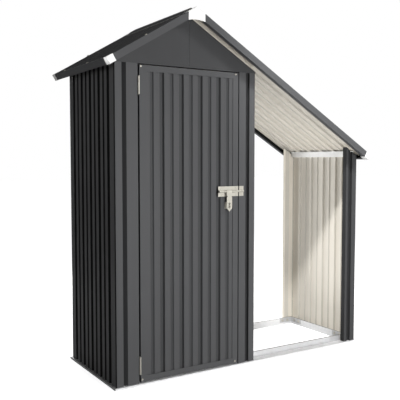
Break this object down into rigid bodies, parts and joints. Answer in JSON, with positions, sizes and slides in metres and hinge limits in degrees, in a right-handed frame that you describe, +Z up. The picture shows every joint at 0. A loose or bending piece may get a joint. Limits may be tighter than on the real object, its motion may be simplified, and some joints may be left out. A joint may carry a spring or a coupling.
{
  "type": "log store with tool shed",
  "caption": "Ribbed steel tool shed with a hinged, bolted door and an open log store beside it, under one gable roof with a long slope over the logs.",
  "frame": {"origin": "on the ground under the middle of the roof's plan", "axes": "+Z up, front with the door towards -Y, log bay towards +X"},
  "size_m": [1.708, 0.74, 1.8764],
  "materials": {
    "anthracite_sheet": "satin coat, cream on the inner side",
    "cream_sheet": "satin coat",
    "galvanised_frame": "pale galvanised, satin",
    "white_plastic": "matt moulded",
    "zinc_fittings": "zinc plated"
  },
  "bodies": {
    "root": {"base_rail_front": "galvanised_frame", "base_rail_back": "galvanised_frame", "base_rail_left": "galvanised_frame", "base_rail_right": "galvanised_frame", "base_rail_middle": "galvanised_frame", "base_brackets": "galvanised_frame", "left_wall": "anthracite_sheet", "back_wall": "anthracite_sheet", "inner_wall": "anthracite_sheet", "end_wall": "anthracite_sheet", "front_left_panel": "anthracite_sheet", "front_right_panel": "anthracite_sheet", "end_post_front": "anthracite_sheet", "end_post_back": "anthracite_sheet", "front_gable_left": "anthracite_sheet", "front_gable_right": "anthracite_sheet", "back_gables": "anthracite_sheet", "front_top_rail": "galvanised_frame", "back_top_rail": "galvanised_frame", "left_top_rail": "galvanised_frame", "inner_top_rail": "galvanised_frame", "end_top_rail": "galvanised_frame", "slope_rails": "cream_sheet", "roof_left": "anthracite_sheet", "roof_right": "anthracite_sheet", "ridge_flashing": "anthracite_sheet", "front_fascia_left": "anthracite_sheet", "front_fascia_right": "anthracite_sheet", "back_fascia_left": "anthracite_sheet", "back_fascia_right": "anthracite_sheet", "eave_trim_left": "anthracite_sheet", "eave_trim_right": "anthracite_sheet", "eave_caps": "white_plastic", "ridge_caps": "white_plastic", "hinge_frame_leaves": "zinc_fittings", "bolt_keeper": "zinc_fittings"},
    "door": {"door_panel": "anthracite_sheet", "door_hinge_stile": "anthracite_sheet", "door_lock_stile": "anthracite_sheet", "door_top_rail": "anthracite_sheet", "door_bottom_rail": "anthracite_sheet", "hinge_door_leaves": "zinc_fittings", "latch_plate": "zinc_fittings", "hasp_staple": "zinc_fittings"},
    "bolt": {"bolt_rod": "zinc_fittings"},
    "hasp": {"hasp": "zinc_fittings"}
  },
  "joints": [
    {"name": "door_hinge", "type": "hinge", "parent": "root", "child": "door", "pos_m": [-0.6555, -0.2985, 0.789], "axis": [0, 0, -1], "range_deg": [0, 120]},
    {"name": "bolt_slide", "type": "slide", "parent": "door", "child": "bolt", "axis": [-1, 0, 0], "range_m": [0, 0.03]},
    {"name": "hasp_turn", "type": "hinge", "parent": "bolt", "child": "hasp", "pos_m": [-0.133, -0.305, 0.951], "axis": [-1, 0, 0], "range_deg": [0, 90]}
  ],
  "couplings": [
    {"joint": "hasp_turn", "follows": "bolt_slide", "rad_per_m": 52.3}
  ]
}
